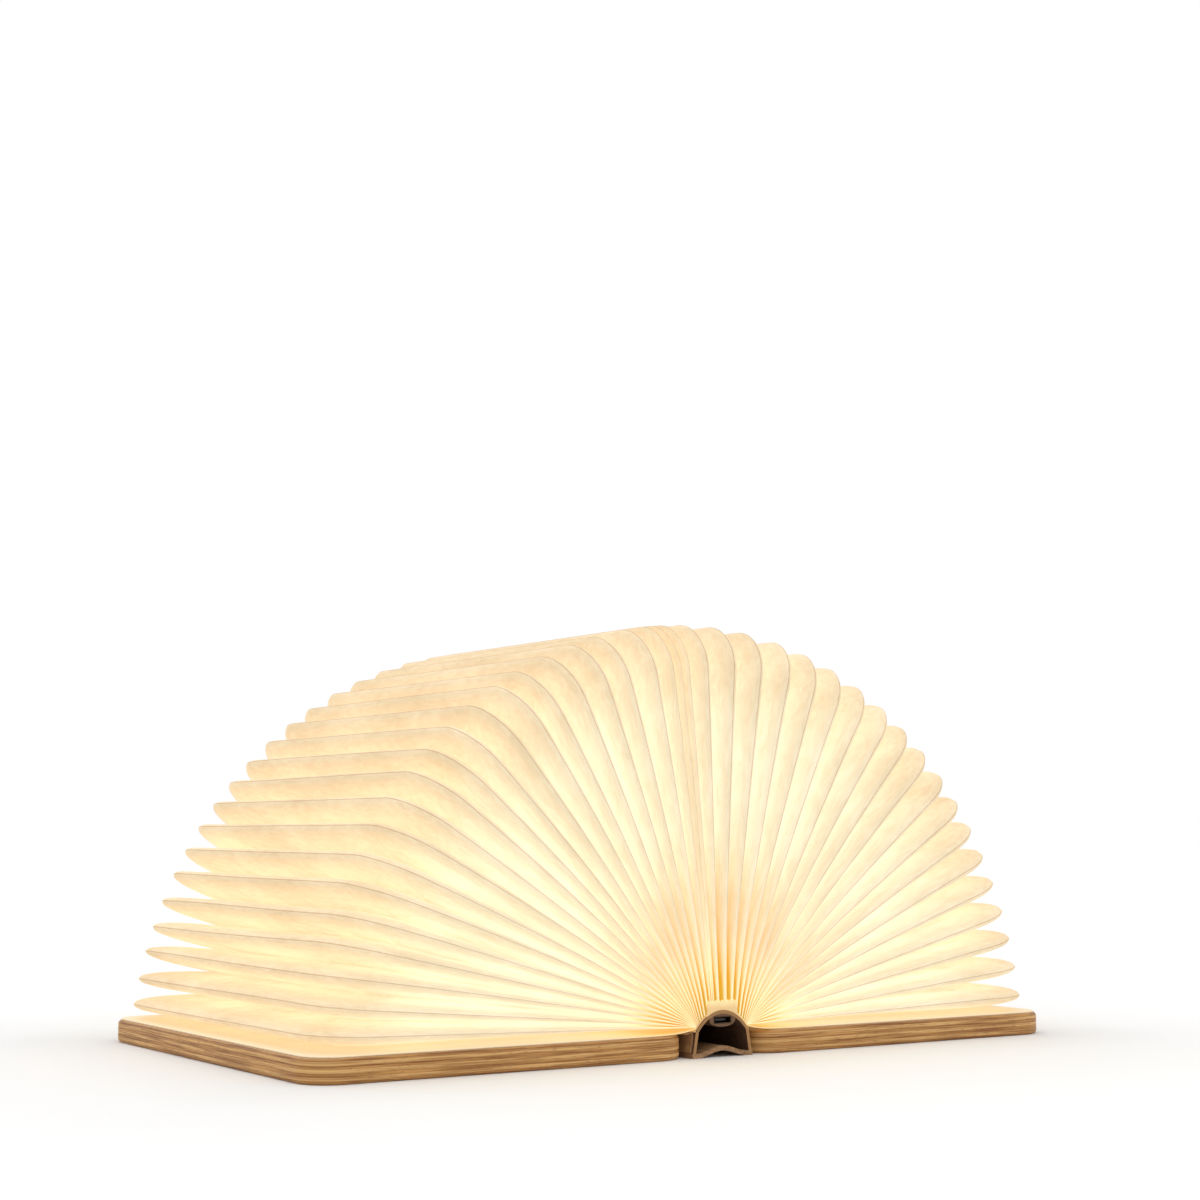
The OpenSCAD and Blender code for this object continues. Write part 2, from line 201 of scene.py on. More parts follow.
# The lining glows with painted light from the fan: faintly low down and more strongly on its upper part.
lining = Finish("lining paper", roughness=0.75, emission_strength=1.0)
cloud = lining.place.noise(300, 3)
glow_low, glow_high = 0.0155, 0.0195
glowing = lining.place.axis("Z").between(glow_low, glow_high)
lining.set(base_color=cloud.mix(rgb(232, 196, 134), rgb(250, 226, 178)),
           emission_color=glowing.mix((0.12, 0.06, 0.01), (0.42, 0.34, 0.18)))
lining.bump(lining.place.noise(2200, 3), 0.00006)
lining.on("arch_lining", "pleat_bands")

# Charging pod: a brown moulded bar, lens-shaped in section, glued under the top of the arch.
# The metal shell of the inlet is pressed into its front end, with a black tongue inside.
pod = Finish("brown plastic", roughness=0.55)
grain = pod.place.noise(2600, 2)
pod.set(base_color=grain.mix(rgb(96, 66, 40), rgb(112, 78, 48)))
pod.bump(grain, 0.00005)
pod.on("charging_pod")

# Painted shade: the inlet's steel shell is coloured dark brown, as it sits in the shade of the arch's
# mouth.
shaded_shell = Finish("dark metal", metallic=1.0, roughness=0.45)
shaded_shell_brushed = shaded_shell.place.stretched(1, 0.05, 1).noise(3000, 2)
shaded_shell.set(base_color=shaded_shell_brushed.mix(rgb(66, 52, 40), rgb(84, 68, 54)))
shaded_shell.on("charging_inlet")

black = Finish("black plastic", roughness=0.45)
black.set(base_color=black.place.noise(1800, 2).mix(rgb(30, 26, 24), rgb(42, 36, 32)))
black.on("inlet_tongue", "switch_sensor")

# Light channel: a white extruded channel that stands on the arch's top, screwed shut by an end
# cap at each end. It is hidden in the hollow of the paper, and all the electrics are in it.
white = Finish("white plastic", roughness=0.4)
ripple = white.place.stretched(1, 0.06, 1).noise(1200, 2)
white.set(base_color=ripple.mix(rgb(238, 236, 230), rgb(248, 247, 243)))
white.bump(ripple, 0.00003)
white.on("light_channel", "front_end_cap", "rear_end_cap")

steel = Finish("bright steel", metallic=1.0)
brushed = steel.place.stretched(1, 0.05, 1).noise(3000, 2)
steel.set(base_color=brushed.mix(rgb(178, 180, 184), rgb(206, 208, 210)),
          roughness=brushed * 0.2 + 0.2)
steel.on("end_cap_screws")

# Cell, boards and wires: the cell lies behind the control board on the channel's floor, and
# the LED board lies on the channel's ledges, with a row of LEDs along it.
wrap = Finish("cell wrap", roughness=0.3, coat_weight=0.3)
wrap.set(base_color=wrap.place.stretched(1, 0.4, 1).noise(260, 2).mix(
    rgb(150, 166, 178), rgb(176, 190, 200)))
wrap.on("battery_cell")

green = Finish("green board", roughness=0.4)
tracks = green.place.node("ShaderNodeTexVoronoi", {"distance": "MANHATTAN"},
                          {"Vector": green.place, "Scale": 700.0})
green.set(base_color=tracks.between(0.3, 0.4).mix(rgb(58, 128, 84), rgb(40, 98, 62)))
green.on("control_board")

enamel = Finish("white board", roughness=0.35)
pads = enamel.place.node("ShaderNodeTexVoronoi", {"distance": "CHEBYCHEV"},
                         {"Vector": enamel.place, "Scale": 260.0})
enamel.set(base_color=pads.between(0.12, 0.16).mix(rgb(206, 190, 150), rgb(244, 243, 238)))
enamel.on("led_board")

phosphor = Finish("led", roughness=0.3, emission_strength=1.6)
phosphor_grain = phosphor.place.noise(2400, 1)
phosphor.set(base_color=phosphor_grain.mix(rgb(250, 224, 140), rgb(255, 240, 180)),
             emission_color=phosphor_grain.mix((1.0, 0.78, 0.42), (1.0, 0.86, 0.55)))
phosphor.on("leds")

opal = Finish("opal plastic", roughness=0.5, emission_strength=1.0)
haze = opal.place.noise(180, 2)
opal.set(base_color=haze.mix(rgb(250, 246, 232), rgb(255, 252, 242)),
         emission_color=haze.mix((0.80, 0.62, 0.34), (0.90, 0.74, 0.44)))
opal.on("diffuser")

rubber = Finish("wire insulation", roughness=0.5)
rubber.set(base_color=rubber.place.noise(900, 2).mix(rgb(160, 44, 34), rgb(182, 58, 46)))
rubber.on("battery_leads", "led_leads", "charging_lead")

# Magnets: nickel-plated discs pressed into blind holes in the covers, under the endpapers. The
# pairs at the fore edges hold the shut book together, and the one at the spine works the switch.
nickel = Finish("nickel", metallic=1.0)
scuffs = nickel.place.noise(1500, 3)
nickel.set(base_color=scuffs.mix(rgb(184, 184, 182), rgb(214, 214, 212)),
           roughness=scuffs * 0.25 + 0.12)
nickel.on("left_magnets", "right_magnets", "switch_magnet")

# Covers: 8 mm plywood boards with round corners, and edges eased by sanding. The faces are
# sliced birch with the grain along the spine, and the plies show all along the edges.
cover_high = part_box("right_cover")[1]
cover_t = cover_high.z
corner_r = 0.012
corner_steps = 12
edge_r = 0.0015
edge_steps = 4
board_crease = 40
ply_count = 7

# On the edges, plies with long grain and end grain take turns, with glue lines between them. On
# the faces the grain is fine lines and pores along the spine.
plywood = Finish("plywood", specular_ior_level=0.35)
ply_place = plywood.place
along_edge = ply_place.axis("X") + ply_place.axis("Y")
wander = ply_place.stretched(1, 1, 0.2).noise(22, 4) - 0.5
height = ply_place.axis("Z") / cover_t + wander * 0.06
ply = (height * ply_count).maths("FRACT")
long_grain = (height * (ply_count / 2)).maths("FRACT").between(0.44, 0.56)
glue_line = (ply - 0.5).maths("ABSOLUTE").between(0.40, 0.49)


def edge_noise(along, through, detail):
    """Streaks on the cut edge, with their scales along the edge and through the board"""
    on_edge = ply_place.node("ShaderNodeCombineXYZ", {}, {
        "X": along_edge * along, "Y": ply_place.axis("Z") * through, "Z": 0.0})
    return on_edge.noise(1.0, detail, 0.62, 0.3)


fibre_streaks = edge_noise(42, 2300, 5)
broad_streaks = edge_noise(20, 760, 4)
end_pores = edge_noise(240, 1800, 3)
edge_streaks = fibre_streaks * 0.6 + broad_streaks * 0.4
dark_ply = edge_streaks.between(0.38, 0.62).mix(rgb(134, 84, 38), rgb(208, 155, 90))
light_ply = edge_streaks.between(0.36, 0.60).mix(rgb(162, 109, 56), rgb(230, 184, 119))
edge_tone = long_grain.mix(dark_ply, light_ply)
edge_tone = (glue_line * broad_streaks.between(0.40, 0.60) * 0.6).mix(edge_tone, rgb(134, 87, 44))
edge_tone = (end_pores.between(0.56, 0.70) * 0.5).mix(edge_tone, rgb(112, 70, 38))

figure = ply_place.stretched(1, 0.10, 1).noise(46, 3, 0.5, 0.9)
lines = ply_place.stretched(1, 0.016, 1).noise(700, 4, 0.6)
pores = ply_place.stretched(1, 0.05, 1).noise(1500, 2)
face_tone = figure.between(0.25, 0.75).mix(rgb(196, 158, 114), rgb(208, 174, 130))
face_tone = (lines.between(0.42, 0.72) * 0.55).mix(face_tone, rgb(184, 142, 98))
face_tone = (pores.between(0.63, 0.75) * 0.35).mix(face_tone, rgb(150, 108, 72))
from_middle = (ply_place.axis("Z") / cover_t - 0.5).maths("ABSOLUTE")
on_face = from_middle.between(0.455, 0.492)
plywood.set(base_color=on_face.mix(edge_tone, face_tone), roughness=lines * 0.2 + 0.42)
plywood.bump(on_face * lines + (1 - on_face) * edge_streaks, 0.0002)


def finished(name, mesh, finish, body=None):
    """A piece at the origin with its material, riding on its body unless that is left out"""
    piece = bpy.data.objects.new(name, mesh)
    bpy.context.scene.collection.objects.link(piece)
    mesh.materials.clear()
    mesh.materials.append(finish.material)
    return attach(piece, body) if body else piece


def baked(piece):
    """The plain mesh that a piece's modifiers make"""
    bpy.context.view_layer.update()
    graph = bpy.context.evaluated_depsgraph_get()
    mesh = bpy.data.meshes.new_from_object(piece.evaluated_get(graph))
    bpy.data.objects.remove(piece)
    return mesh


def round_corners(x0, x1, y0, y1, r, steps):
    """The points round a rectangle with round corners, anticlockwise from its lower right"""
    centres = [(x1 - r, y0 + r, -90), (x1 - r, y1 - r, 0), (x0 + r, y1 - r, 90), (x0 + r, y0 + r, 180)]
    return [(cx + r * math.cos(math.radians(start + 90 * i / steps)),
             cy + r * math.sin(math.radians(start + 90 * i / steps)))
            for cx, cy, start in centres for i in range(steps + 1)]


def smooth(mesh, angle):
    """Smooth shading, with a crease wherever two faces meet at more than that angle"""
    mesh.polygons.foreach_set("use_smooth", [True] * len(mesh.polygons))
    mesh.set_sharp_from_angle(angle=math.radians(angle))


def slab(outline, z0, z1):
    """A closed flat board with that outline"""
    shape = bmesh.new()
    rings = [[shape.verts.new((x, y, z)) for x, y in outline] for z in (z0, z1)]
    shape.faces.new(rings[0][::-1])
    shape.faces.new(rings[1])
    for i in range(len(outline)):
        j = (i + 1) % len(outline)
        shape.faces.new([rings[0][i], rings[0][j], rings[1][j], rings[1][i]])
    mesh = bpy.data.meshes.new("slab")
    shape.to_mesh(mesh)
    shape.free()
    return mesh


for side in ("left", "right"):
    low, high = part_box(f"{side}_cover")
    outline = round_corners(low.x, high.x, low.y, high.y, corner_r, corner_steps)
    block = finished(f"{side}_cover_board", slab(outline, 0, cover_t), plywood)
    eased = block.modifiers.new("eased edges", "BEVEL")
    eased.width, eased.segments, eased.limit_method = edge_r, edge_steps, "ANGLE"
    board_mesh = baked(block)
    smooth(board_mesh, board_crease)
    cover = finished(f"{side}_cover_board", board_mesh, plywood, f"{side}_cover")
    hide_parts(f"{side}_cover")

# Pleated paper: one long sheet of translucent paper folded to and fro into a fan. Its feet are
# glued over the arch, and each page runs up the front end, along the fore edge and back down.
fold_joints = {joint["name"]: joint for joint in frame["joints"]}
hinge_x = fold_joints["right_cover_hinge"]["pos_m"][0]
last_fold = fold_joints["right_pleats_7_fold"]
last_angle = math.radians(last_fold["range_deg"][1])
arch_a = last_fold["pos_m"][0] * math.pi / 2 / last_angle
fan_z = last_fold["pos_m"][2] - last_fold["pos_m"][0] / math.tan(last_angle)

# A page reaches to just inside the cover's fore edge. Each side has a group of pleats for every
# fold joint, and the first group on the left has five thin pleats that stand close together.
page_recess = 0.001
reach = cover_t + (cover_high.x - hinge_x) - page_recess - fan_z
page_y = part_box("right_pleats_4")[1].y
sectors = 7
sector_angle = math.pi / 2 / sectors
crowding = 0.17
pleat_depth = 0.019
ridge_corner, valley_corner = 0.0165, 0.010
foot_lift = 0.0004
pleats = {"left": (3, 3, 3, 3, 3, 3, 3), "right": (3, 3, 2, 3, 2, 3, 2)}
thin_group, thin_pleats, thin_pinch = "left_pleats_1", 5, -0.6
steps_across, steps_along = 9, 72


def fan_angle(side, k):
    """Where pleat group k ends. The pleats hang a little closer together down at the covers."""
    share = sum(pleats[side][:k]) / sum(pleats[side])
    return share * (math.pi / 2) * (1 + crowding * (1 - share))


def pleat_tree():
    """Folds a flat grid into one group of pleats. The grid's X runs across the folds and its Y
    runs along the page, from its front foot to its rear foot."""
    tree = bpy.data.node_groups.new("pleats", "GeometryNodeTree")
    tree.is_modifier = True
    inputs = {"First Angle": 0.0, "Sector Angle": sector_angle, "Pleats": 3.0, "Pinch": 0.0,
              "Half Length": page_y, "Reach": reach, "Fan Height": fan_z, "Arch": arch_a,
              "Depth": pleat_depth, "Ridge Corner": ridge_corner, "Valley Corner": valley_corner,
              "Lean": math.radians(0.6), "Belly": 0.45, "Seed": 0.0}
    for name, value in inputs.items():
        given_size = tree.interface.new_socket(name, in_out="INPUT", socket_type="NodeSocketFloat")
        given_size.default_value = value
    tree.interface.new_socket("Material", in_out="INPUT", socket_type="NodeSocketMaterial")
    tree.interface.new_socket("Geometry", in_out="OUTPUT", socket_type="NodeSocketGeometry")
    given = tree.nodes.new("NodeGroupInput")
    pick = {name: Wire(tree, given.outputs[name]) for name in (*inputs, "Material")}
    start = Wire(tree)

    count = start.node("FunctionNodeFloatToInt", {"rounding_mode": "ROUND"},
                       {0: pick["Pleats"] * (2 * steps_across) + 1})
    grid = start.node("GeometryNodeMeshGrid", {}, {
        "Size X": 1.0, "Size Y": 1.0, "Vertices X": count, "Vertices Y": steps_along + 1})
    spot = start.node("GeometryNodeInputPosition")
    across = spot.axis("X") + 0.5
    along = spot.axis("Y") + 0.5

    # Across the folds: depth is 0 at a ridge, 1 at a valley, and close to 0 for a good way round
    # the ridge. The belly swells each pleat out to its neighbours, and the lean is a small sway.
    valley_power = 1.6
    fold = across * pick["Pleats"] * 2
    pleat = (fold * 0.5).maths("FLOOR").maths("MINIMUM", pick["Pleats"] - 1)
    from_ridge = fold - pleat * 2 - 1
    share = from_ridge.maths("ABSOLUTE")
    depth = share ** valley_power
    belly = depth ** pick["Belly"]
    slot = (pleat + 0.5 + from_ridge.maths("SIGN") * belly * 0.5) / pick["Pleats"]
    pinched = slot - pick["Pinch"] * (slot * (2 * math.pi)).maths("SINE") / (2 * math.pi)
    wave = start.node("ShaderNodeCombineXYZ", {}, {
        "X": pleat * 7.3 + pick["Seed"] * 3.1, "Y": along * 2.2, "Z": pick["Seed"]})
    lean = (wave.noise(1.0, 1.0) - 0.5) * 2 * pick["Lean"] * (1 - depth)
    angle = pick["First Angle"] + pinched * pick["Sector Angle"] + lean
    size = angle.maths("ABSOLUTE").maths("MAXIMUM", 0.0001)

    # The foot of a page stands on the arch, which goes through the places where pages at that
    # angle have their roots. Most feet are gathered down at the arch's two sides.
    gather_end, gather_power = math.radians(84), 5.0
    arch_step = pick["Arch"] / (math.pi / 2)
    near = arch_step * size / size.maths("SINE")
    far = pick["Reach"] + near * (1 - size.maths("COSINE"))
    gather = (1 - (1 - size / (math.pi / 2)).maths("MAXIMUM", 0.0) ** gather_power) * gather_end
    foot_size = gather.maths("MAXIMUM", 0.0001)
    foot_x = arch_step * angle.maths("SIGN") * gather
    foot_z = pick["Fan Height"] + arch_step * foot_size / foot_size.maths("TANGENT") + foot_lift

    # Along a page from its fore edge's middle to a foot: the fore edge takes the first share of
    # the grid, the corner the next one, and the leg that runs down to the arch has the rest.
    edge_share, turn_share, leg_power = 0.30, 0.52, 1.15
    middle = (along * 2 - 1).maths("ABSOLUTE")
    end = (along * 2 - 1).maths("SIGN")
    level = (middle / edge_share).maths("MINIMUM", 1.0)
    turned = (middle - edge_share) / (turn_share - edge_share)
    turn = turned.maths("MAXIMUM", 0.0).maths("MINIMUM", 1.0) * (math.pi / 2)
    leg = ((middle - turn_share) / (1 - turn_share)).maths("MAXIMUM", 0.0)
    inset = depth * pick["Depth"]
    corner = pick["Ridge Corner"] + (pick["Valley Corner"] - pick["Ridge Corner"]) * depth
    at_foot = leg.between(0.78, 1.0)
    y = level * (pick["Half Length"] - inset - corner) + corner * turn.maths("SINE") + inset * at_foot
    top = far - inset - corner + corner * turn.maths("COSINE")
    out = (top - near) / (far - near) * (1 - leg ** leg_power)
    far_x = angle.maths("SINE") * far
    far_z = pick["Fan Height"] + angle.maths("COSINE") * far
    x = foot_x + (far_x - foot_x) * out ** leg_power
    z = foot_z + (far_z - foot_z) * out
    placed = start.node("ShaderNodeCombineXYZ", {}, {"X": x, "Y": end * y, "Z": z})

    # Each point keeps its place on the unfolded sheet, in metres, and where it lies on its page.
    page_length, leaf_width = 0.42, 0.019
    unfolded = start.node("ShaderNodeCombineXYZ", {}, {
        "X": along * page_length, "Y": fold * leaf_width, "Z": pick["Seed"]})
    kept = grid
    for name, kind, value in (("sheet", "FLOAT_VECTOR", unfolded), ("depth", "FLOAT", depth),
                              ("out", "FLOAT", out), ("leg", "FLOAT", leg)):
        kept = start.node("GeometryNodeStoreNamedAttribute", {"data_type": kind, "domain": "POINT"},
                          {"Geometry": kept, "Name": name, "Value": value})
    folded = start.node("GeometryNodeSetPosition", {}, {"Geometry": kept, "Position": placed})
    folded = start.node("GeometryNodeRealizeInstances", {}, {"Geometry": folded})
    folded = start.node("GeometryNodeSetMaterial", {}, {"Geometry": folded, "Material": pick["Material"]})
    result = tree.nodes.new("NodeGroupOutput")
    tree.links.new(folded.socket, result.inputs[0])
    return tree


# The light is behind the paper, and it is painted into the paper's glow and colour. A page is
# brightest half-way out, tan at its fore edge, and golden between the ridges at its root, higher
# up over the spine than down at the covers. Each ridge shows as a thin brown line of painted
# shade, and a page that lies over the next one gets painted shade there.
paper = Finish("pleated paper", roughness=0.7, emission_strength=1.0, specular_ior_level=0.2)
sheet, depth_in, out_share, leg_share = (
    paper.start.node("ShaderNodeAttribute", {"attribute_name": name}, out=out)
    for name, out in (("sheet", "Vector"), ("depth", "Fac"), ("out", "Fac"), ("leg", "Fac")))
clouds = sheet.noise(24, 4, 0.55, 0.4)
fibre = sheet.stretched(0.35, 1, 1).noise(420, 4, 0.6, 0.6)
mottle = clouds * 0.55 + fibre * 0.45
# Painted shade: a thin brown line along each ridge, in the colour and the glow, that fades out near the
# root.
ridge = 1 - depth_in.between(0.0, 0.009)
line = ridge * out_share.between(0.06, 0.24) * 0.5
# Painted light: the glow stands in for the lamp's light through the paper, brightest half-way out and
# dimmer and tan at the fore edge.
glow = out_share.node("ShaderNodeValToRGB", {"stops": [
    (0.0, (0.56, 0.46, 0.24)), (0.08, (0.56, 0.50, 0.32)), (0.20, (0.51, 0.49, 0.40)),
    (0.45, (0.50, 0.51, 0.45)), (0.75, (0.48, 0.48, 0.41)), (1.0, (0.45, 0.37, 0.26))]}, {0: out_share})
# Painted glow: golden between the ridges near the root, in the colour and the glow.
root = (1 - out_share.between(0.02, 0.26)) * depth_in.between(0.0, 0.30)
# Painted shade where a page lies over the next one, on the legs of the right-hand pages.
on_leg = leg_share.between(0.0, 0.08)
on_right = paper.place.axis("X").between(0.0, 0.02)
overlap_shade = (depth_in + out_share * 0.62).between(0.98, 1.01) * on_leg * on_right
# Painted light and shade on the glow: brighter round the ridges and all over near the root, and painted
# shade towards the valleys and where pages overlap.
root_zone = 1 - out_share.between(0.04, 0.30)
lit = depth_in.between(0.0, 0.4).maths("MAXIMUM", root_zone)
# Painted shade towards each valley.
behind = depth_in.between(0.5, 1.0)
shade = (0.5 - mottle) * 0.9 + 0.56 - lit * 0.50 + behind * 0.26 + overlap_shade * 0.20
# The painted shade dims the glow and warms it.
shade_tint = shade.mix((1.0, 1.0, 1.0), (0.52, 0.46, 0.34))
glow = glow.node("ShaderNodeVectorMath", {"operation": "MULTIPLY"}, {0: glow, 1: shade_tint})
# Painted glow: golden gaps between the ridges near the root, reaching further out over the spine than
# down at the covers.
aside = paper.place.axis("X").maths("ABSOLUTE")
above = (paper.place.axis("Z") - fan_z).maths("MAXIMUM", 0.001)
sideways = aside / (aside * aside + above * above).maths("SQRT")
golden_end = 0.50 - sideways * sideways * 0.31
gap = depth_in.between(0.015, 0.30) * (1 - out_share.between(0.05, golden_end))
deep = gap.mix((root * 0.8).mix(glow, (0.33, 0.22, 0.05)), (0.24, 0.155, 0.005))
# The page's colour is its own mottled tone, with the painted golden glow of the root and the gaps mixed
# in.
plain = mottle.between(0.3, 0.7).mix(rgb(208, 186, 150), rgb(226, 210, 180))
page_tone_and_glow = gap.mix(root.mix(plain, rgb(232, 194, 122)), rgb(222, 176, 76))
paper.set(base_color=line.mix(page_tone_and_glow, rgb(150, 98, 54)),
          emission_color=line.mix(deep, (0.15, 0.08, 0.03)))
paper.bump(fibre * 0.4 + sheet.noise(90, 3) * 0.6, 0.0003)

tree = pleat_tree()
sockets = {item.name: item.identifier for item in tree.interface.items_tree if item.in_out == "INPUT"}
sheet_t = 0.00012
sheet_crease = 50
for side, sign in (("left", -1), ("right", 1)):
    for k in range(1, sectors + 1):
        name = f"{side}_pleats_{k}"
        ends = sorted((sign * fan_angle(side, k - 1), sign * fan_angle(side, k)))
        piece = finished(f"{name}_paper", bpy.data.meshes.new(name), paper)
        folding = piece.modifiers.new("pleats", "NODES")
        folding.node_group = tree
        thin = name == thin_group
        sizes = {"First Angle": ends[0], "Sector Angle": ends[1] - ends[0],
                 "Pleats": float(thin_pleats if thin else pleats[side][k - 1]),
                 "Pinch": thin_pinch if thin else 0.0,
                 "Seed": float(k if sign > 0 else k + sectors), "Material": paper.material}
        for given, value in sizes.items():
            folding[sockets[given]] = value
        thick = piece.modifiers.new("thickness", "SOLIDIFY")
        thick.thickness, thick.offset = sheet_t, 0
        mesh = baked(piece)
        smooth(mesh, sheet_crease)
        piece = finished(f"{name}_paper", mesh, paper, name)
        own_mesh(piece)
        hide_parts(name)

# Endpapers: a cream sheet glued over each cover's inner face. It lifts off near the spine, where
# its inner edge is glued up the side of the arch.
# The endpaper glows with painted light from the fan, unevenly, and near the spine it has a painted golden
# glow in both its colour and its glow.
endpaper = Finish("endpaper", roughness=0.75, emission_strength=1.0)
from_spine = endpaper.place.axis("X").maths("ABSOLUTE")
tooth = endpaper.place.noise(900, 3)
spread = endpaper.place.noise(22, 3)
spine_glow = 1 - from_spine.between(0.014, 0.055)
endpaper.set(base_color=(spine_glow * 0.3).mix(tooth.mix(rgb(224, 208, 176), rgb(236, 222, 192)),
                                               rgb(232, 190, 116)),
             emission_color=spine_glow.mix(spread.mix((0.20, 0.165, 0.12), (0.27, 0.215, 0.145)),
                                           (0.29, 0.215, 0.07)))
endpaper.bump(endpaper.place.noise(60, 2), 0.0006)


def draped(name, profile, half_length, thickness, finish, rows=24):
    """A thin sheet whose profile is a list of points in X and Z. It is as long along the spine,
    at each of them, as the function half_length says, and it is given for the right side."""
    shape = bmesh.new()
    grid = [[shape.verts.new((x, half_length(x) * (2 * j / rows - 1), z)) for j in range(rows + 1)]
            for x, z in profile]
    for line, following in zip(grid, grid[1:]):
        for j in range(rows):
            shape.faces.new([line[j], following[j], following[j + 1], line[j + 1]])
    mesh = bpy.data.meshes.new(name)
    shape.to_mesh(mesh)
    shape.free()
    piece = finished(name, mesh, finish)
    thick = piece.modifiers.new("thickness", "SOLIDIFY")
    thick.thickness, thick.offset = thickness, 0
    mesh = baked(piece)
    smooth(mesh, sheet_crease)
    return mesh


def mirrored(mesh):
    """The same sheet for the left side"""
    other = mesh.copy()
    other.transform(Matrix.Diagonal((-1, 1, 1, 1)))
    other.flip_normals()
    return other


hinge_z = cover_t
foot_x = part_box("spine_arch")[1].x

# The sheets leave the arch's side at arch_x and root_x. The endpaper comes down to the cover in a
# soft curve, and it stops short of the cover's other edges.
arch_x = 0.0111
root_x, root_lift, lift_fade, lift_length = 0.0109, 0.0018, 0.005, 0.022
trim = 0.0012
sheet_end, sheet_y, sheet_r = cover_high.x - trim, cover_high.y - trim, corner_r - trim
endpaper_t, glue_t = 0.0003, 0.00008


def endpaper_half(x):
    """Half the endpaper's length along the spine, which gets less round its outer corners"""
    turn = max(0.0, x - (sheet_end - sheet_r))
    return sheet_y - sheet_r + math.sqrt(max(0.0, sheet_r ** 2 - turn ** 2))


near_steps, flat_steps, turn_steps = 22, 12, 10
near = [root_x + lift_length * (i / near_steps) ** 1.5 for i in range(near_steps + 1)]
corner_x = sheet_end - sheet_r
flat = [near[-1] + (corner_x - near[-1]) * i / flat_steps for i in range(1, flat_steps + 1)]
turned = [corner_x + sheet_r * math.sin(math.radians(90 * i / turn_steps))
          for i in range(1, turn_steps + 1)]
glued_z = cover_t + endpaper_t / 2 + glue_t
endpaper_line = [(x, glued_z + root_lift * math.exp((root_x - x) / lift_fade))
                 for x in near + flat + turned]
endpaper_mesh = draped("endpaper", endpaper_line, endpaper_half, endpaper_t, endpaper)

# Hinge cloths: a tan cloth strip up the outside of each of the arch's legs, over the gap and on
# to the cover, under the endpaper. It is the hinge.
cloth = Finish("hinge cloth", roughness=0.85)
thread_scale = 620.0
warp, weft = (cloth.place.node("ShaderNodeTexWave", {"bands_direction": way},
                               {"Vector": cloth.place, "Scale": thread_scale}) for way in "XY")
weave = warp * 0.5 + weft * 0.5
cloth_tone = weave * 0.6 + cloth.place.noise(500, 3) * 0.4
cloth.set(base_color=cloth_tone.mix(rgb(132, 96, 62), rgb(186, 146, 100)))
cloth.bump(weave, 0.00008)
cloth_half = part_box("right_hinge_cloth")[1].y
cloth_t, cloth_foot, cloth_off = 0.0004, 0.0018, 0.0006
cloth_line = [(foot_x + 0.00022, cloth_foot),
              (arch_x + cloth_off, hinge_z - 0.0016), (arch_x + cloth_off, hinge_z - 0.0002),
              (arch_x + 0.0009, hinge_z + 0.0005), (hinge_x, hinge_z + 0.0007),
              (hinge_x + 0.0008, hinge_z + 0.0004), (hinge_x + 0.0016, hinge_z + 0.00022),
              (hinge_x + 0.0026, hinge_z + 0.0002)]
cloth_mesh = draped("hinge_cloth", cloth_line, lambda x: cloth_half, cloth_t, cloth, 8)

bend_x = hinge_x - 0.0003
for side, sign in (("left", -1), ("right", 1)):
    for kind, mesh, finish, bend, rise in (("endpaper", endpaper_mesh, endpaper, 0.002, 0.0),
                                           ("hinge_cloth", cloth_mesh, cloth, 0.0009, 0.0005)):
        piece = finished(f"{side}_{kind}_sheet", mesh if sign > 0 else mirrored(mesh), finish)
        sign * bend_x
        sign * (bend_x + bend)
        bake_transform(piece)
        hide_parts(f"{side}_{kind}")

# Studio: a white floor, soft light from above on three sides and from the sky all round, and
# the camera low down at the left. The floor gets painted light for the camera that grows away
# from the box round the covers, so it goes to plain white away from the lamp and stays darker
# round it.
floor_half, floor_t = 6.0, 0.01
floor_mesh = slab([(-floor_half, -floor_half), (floor_half, -floor_half),
                   (floor_half, floor_half), (-floor_half, floor_half)], -floor_t, 0)
floor_finish = Finish("floor", base_color=(0.91, 0.91, 0.91), roughness=0.9)
camera_ray = floor_finish.start.node("ShaderNodeLightPath", out="Is Camera Ray")
beyond = [(floor_finish.place.axis(way).maths("ABSOLUTE") - size).maths("MAXIMUM", 0.0)
          for way, size in (("X", cover_high.x), ("Y", cover_high.y))]
far_off = (beyond[0] * beyond[0] + beyond[1] * beyond[1]).maths("SQRT")
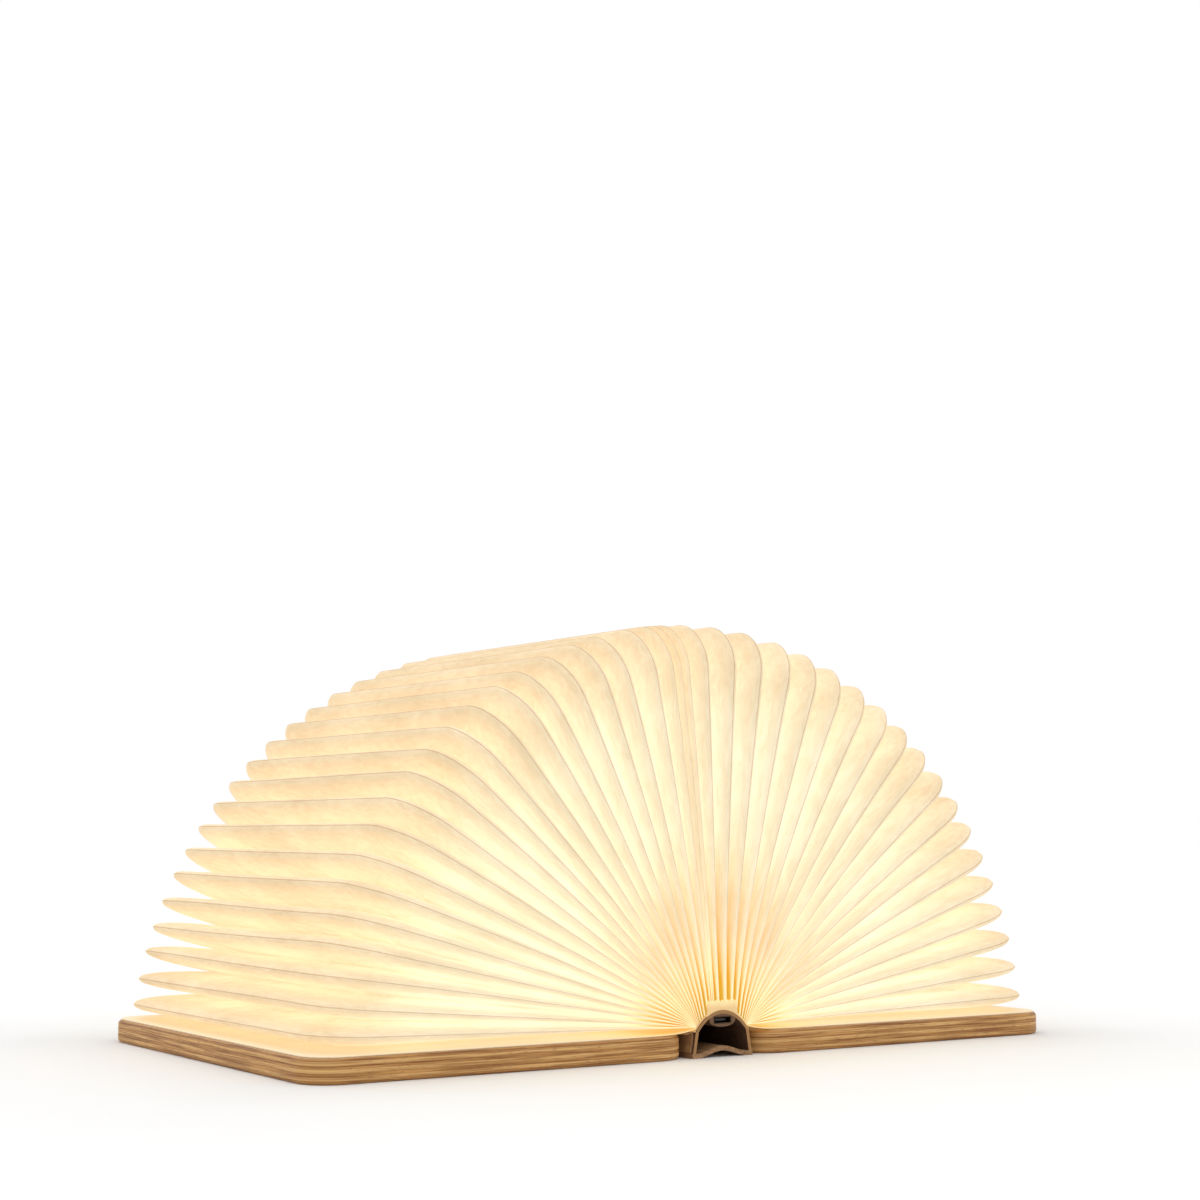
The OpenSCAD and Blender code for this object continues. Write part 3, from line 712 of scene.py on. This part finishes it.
# Painted light on the floor: none at the box round the covers and more further off.
light_away_from_lamp = far_off.node("ShaderNodeValToRGB", {"stops": [
    (0.0, (0.0, 0.0, 0.0)), (0.05, (0.09, 0.095, 0.10)), (0.18, (0.18, 0.185, 0.19))]}, {0: far_off})
floor_finish.set(emission_color=camera_ray.mix((0.0, 0.0, 0.0), light_away_from_lamp), emission_strength=1.0)
floor = finished("floor", floor_mesh, floor_finish)

world = bpy.data.worlds.new("studio")
world.use_nodes = True
bpy.context.scene.world = world
sky = world.node_tree
sky.nodes.clear()
sky_start = Wire(sky)
sky_light = 0.55
shown = sum(sky_start.node("ShaderNodeLightPath", out=f"Is {kind} Ray")
            for kind in ("Camera", "Glossy", "Transmission"))
backdrop = sky_start.node("ShaderNodeBackground", {}, {
    "Color": (1, 1, 1, 1), "Strength": shown * (1 - sky_light) + sky_light})
sky_out = sky.nodes.new("ShaderNodeOutputWorld")
sky.links.new(backdrop.socket, sky_out.inputs[0])


def wide_sun(name, place, strength, spread):
    """A far lamp that shines from place to the lamp's middle, with soft shadows"""
    lamp = bpy.data.lights.new(name, "SUN")
    lamp.energy, lamp.angle = strength, math.radians(spread)
    sun = bpy.data.objects.new(name, lamp)
    sun.rotation_mode = "QUATERNION"
    sun.rotation_quaternion = Vector(place).to_track_quat("Z", "Y")
    bpy.context.scene.collection.objects.link(sun)


wide_sun("key light", (-0.45, -0.40, 1.2), 0.65, 60)
wide_sun("back light", (-0.20, 0.75, 1.0), 0.50, 60)
wide_sun("fill light", (0.9, -0.9, 0.9), 0.35, 80)

camera_azimuth = math.radians(-33)
camera_distance = 0.78
camera_height = 0.075
lens = 62
aim_right, aim_up = 0.0048, 0.163
camera = bpy.data.cameras.new("camera")
camera.lens, camera.sensor_width = lens, 36
viewer = bpy.data.objects.new("camera", camera)
back = Vector((math.sin(camera_azimuth), -math.cos(camera_azimuth), 0))
rightwards = Vector((math.cos(camera_azimuth), math.sin(camera_azimuth), 0))
viewer.location = back * camera_distance + Vector((0, 0, camera_height))
aim = rightwards * aim_right + Vector((0, 0, aim_up))
viewer.rotation_mode = "QUATERNION"
viewer.rotation_quaternion = (aim - viewer.location).to_track_quat("-Z", "Y")
bpy.context.scene.collection.objects.link(viewer)
bpy.context.scene.camera = viewer
bpy.context.scene.view_settings.view_transform = "Standard"
